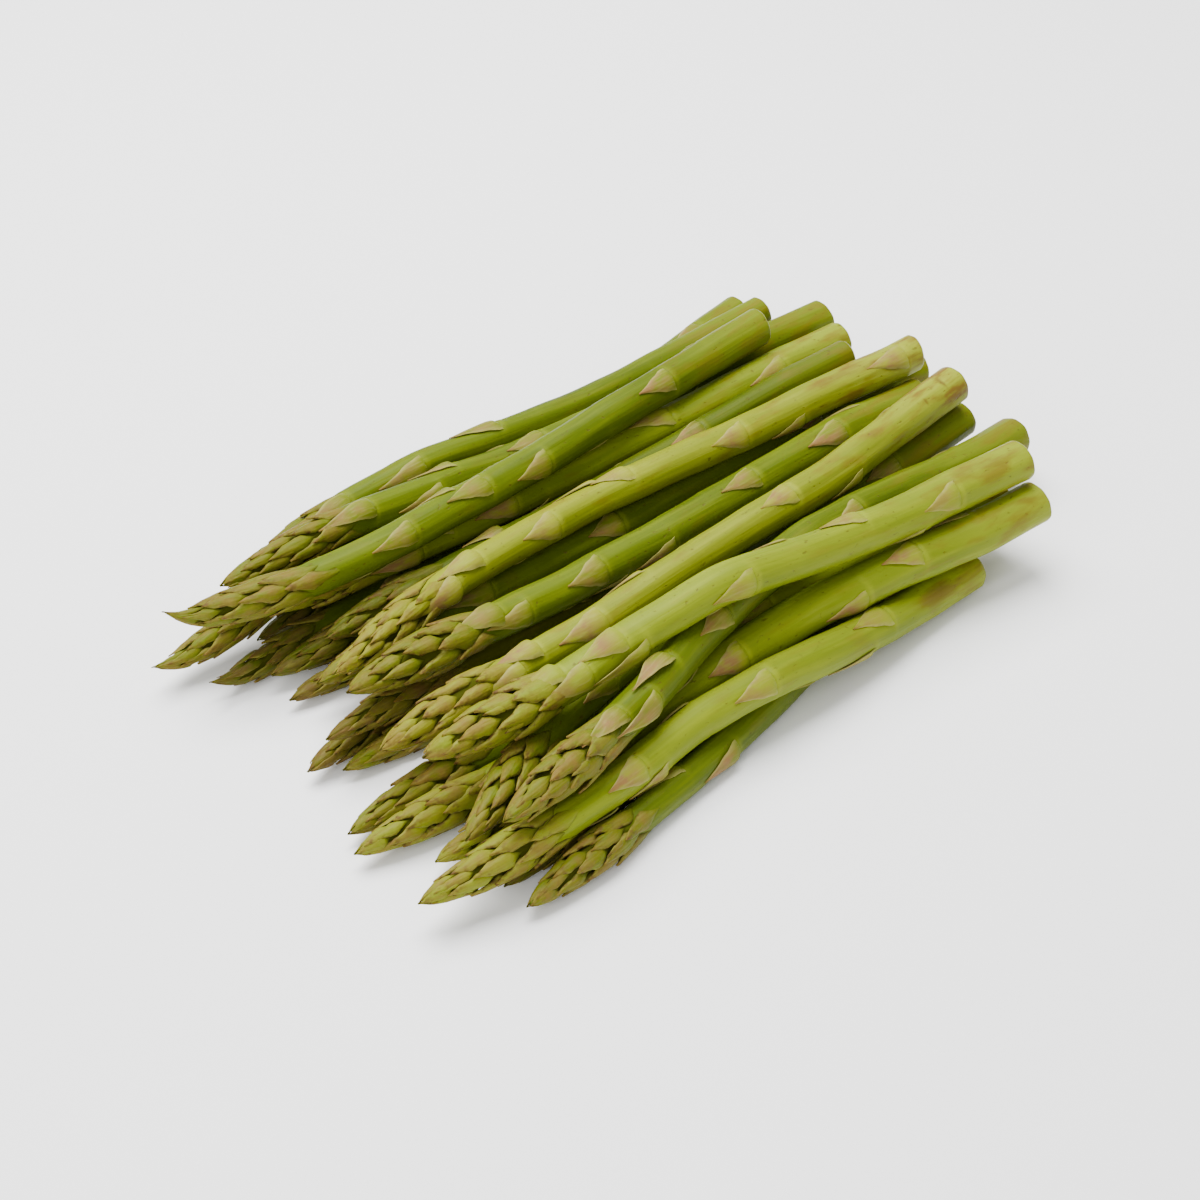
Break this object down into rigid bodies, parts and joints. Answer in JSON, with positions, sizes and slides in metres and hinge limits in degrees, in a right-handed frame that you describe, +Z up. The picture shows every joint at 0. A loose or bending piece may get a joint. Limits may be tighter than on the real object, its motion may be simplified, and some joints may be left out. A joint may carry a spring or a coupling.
{
  "type": "bundle of asparagus",
  "caption": "Loose untied pile of fresh green asparagus spears lying side by side, heads at one end and cut ends at the other.",
  "frame": {"origin": "middle of the pile's outline, on the surface that it lies on", "axes": "+X from the heads to the cut ends, +Y across the pile, +Z up"},
  "size_m": [0.243, 0.1508, 0.0421],
  "materials": {
    "asparagus_green": "matte, fresh skin",
    "asparagus_light": "matte, fresh skin",
    "asparagus_yellow": "matte, fresh skin",
    "asparagus_shade": "matte, fresh skin",
    "asparagus_brown": "matte, fresh skin"
  },
  "bodies": {
    "root": {"spear_01": "asparagus_green", "spear_02": "asparagus_shade", "spear_03": "asparagus_shade", "spear_04": "asparagus_shade", "spear_05": "asparagus_brown", "spear_06": "asparagus_brown", "spear_07": "asparagus_green", "spear_08": "asparagus_green", "spear_09": "asparagus_shade", "spear_10": "asparagus_green", "spear_11": "asparagus_shade", "spear_12": "asparagus_brown", "spear_13": "asparagus_green", "spear_14": "asparagus_green", "spear_15": "asparagus_green", "spear_16": "asparagus_light", "spear_17": "asparagus_green", "spear_18": "asparagus_yellow", "spear_19": "asparagus_green", "spear_20": "asparagus_light", "spear_21": "asparagus_light", "spear_22": "asparagus_light", "spear_23": "asparagus_green", "spear_24": "asparagus_green", "spear_25": "asparagus_yellow", "spear_26": "asparagus_light"}
  },
  "joints": []
}
